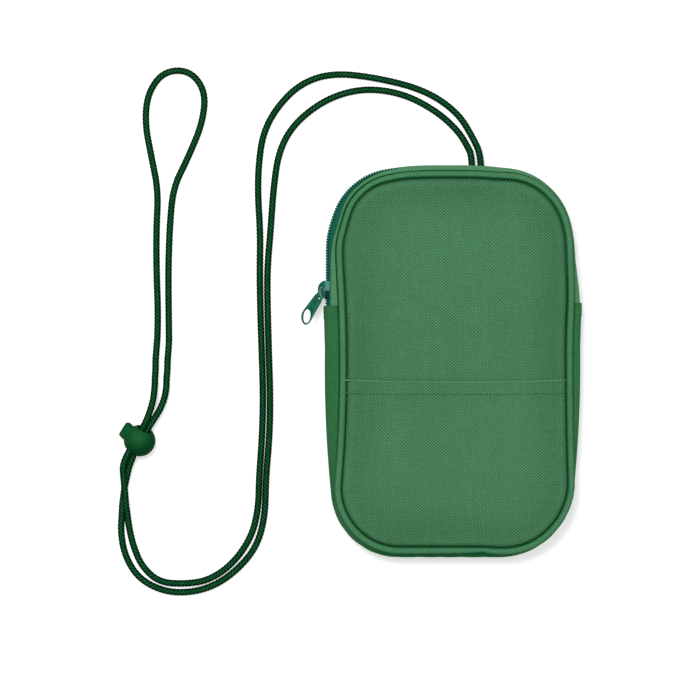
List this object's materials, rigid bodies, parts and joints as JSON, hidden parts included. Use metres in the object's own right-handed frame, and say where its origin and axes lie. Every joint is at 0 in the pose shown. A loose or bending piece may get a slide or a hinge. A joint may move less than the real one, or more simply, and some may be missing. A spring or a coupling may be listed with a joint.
{
  "type": "crossbody travel pouch",
  "caption": "Small zipped fabric pouch with piped edges, a front patch pocket and a long thin carry cord with a sprung ball lock, laid flat on its back",
  "frame": {"origin": "The middle of the pouch's flat back face, on the surface it lies on. X is centred on the pouch without its cord.", "axes": "+Z is out of the front, +Y is up towards the top edge where the cord leaves, +X is to the right seen from the front."},
  "size_m": [0.2244, 0.2568, 0.0251],
  "materials": {
    "pouch_cloth": "plain woven, matt, dark green",
    "piping_cloth": "plain woven, matt, dark green",
    "strip_cloth": "plain woven, matt, dark green",
    "zip_tape": "herringbone tape, matt, teal green",
    "zip_coil": "nylon coil, satin, teal green",
    "zip_metal": "painted die casting, satin, teal green",
    "binding_tape": "folded binding tape, matt, dark green",
    "cord": "braided, matt, very dark green",
    "lock_plastic": "moulded, fine matt, dark green",
    "spring_steel": "drawn wire"
  },
  "bodies": {
    "pouch": {"front_panel": "pouch_cloth", "front_pocket": "pouch_cloth", "back_panel": "pouch_cloth", "front_piping": "piping_cloth", "back_piping": "piping_cloth", "base_gusset": "pouch_cloth", "front_zip_strip": "strip_cloth", "back_zip_strip": "strip_cloth", "front_zip_tape": "zip_tape", "back_zip_tape": "zip_tape", "front_zip_coil": "zip_coil", "back_zip_coil": "zip_coil", "zip_end_stops": "zip_metal", "front_seam_binding": "binding_tape", "back_seam_binding": "binding_tape", "carry_cord": "cord", "cord_end_tacks": "binding_tape"},
    "slider": {"slider_body": "zip_metal", "slider_cap": "zip_metal"},
    "puller": {"puller": "zip_metal"},
    "cord_lock": {"lock_barrel": "lock_plastic", "lock_spring": "spring_steel"},
    "lock_button": {"lock_plunger": "lock_plastic"}
  },
  "joints": [
    {"name": "zip_slide", "type": "slide", "parent": "pouch", "child": "slider", "axis": [0, 1, 0], "range_m": [-0.003, 0.016]},
    {"name": "puller_swing", "type": "hinge", "parent": "slider", "child": "puller", "pos_m": [-0.0637, 0.0327, 0.0127], "axis": [0, 0, 1], "range_deg": [-130, 20]},
    {"name": "lock_slide", "type": "slide", "parent": "pouch", "child": "cord_lock", "axis": [0.5299, 0.848, 0], "range_m": [0, 0.004]},
    {"name": "lock_press", "type": "slide", "parent": "cord_lock", "child": "lock_button", "axis": [0.848, -0.5299, 0], "range_m": [0, 0.0015], "stiffness_N_per_m": 1500, "springref_m": -0.001, "deforming": ["lock_spring"]}
  ]
}
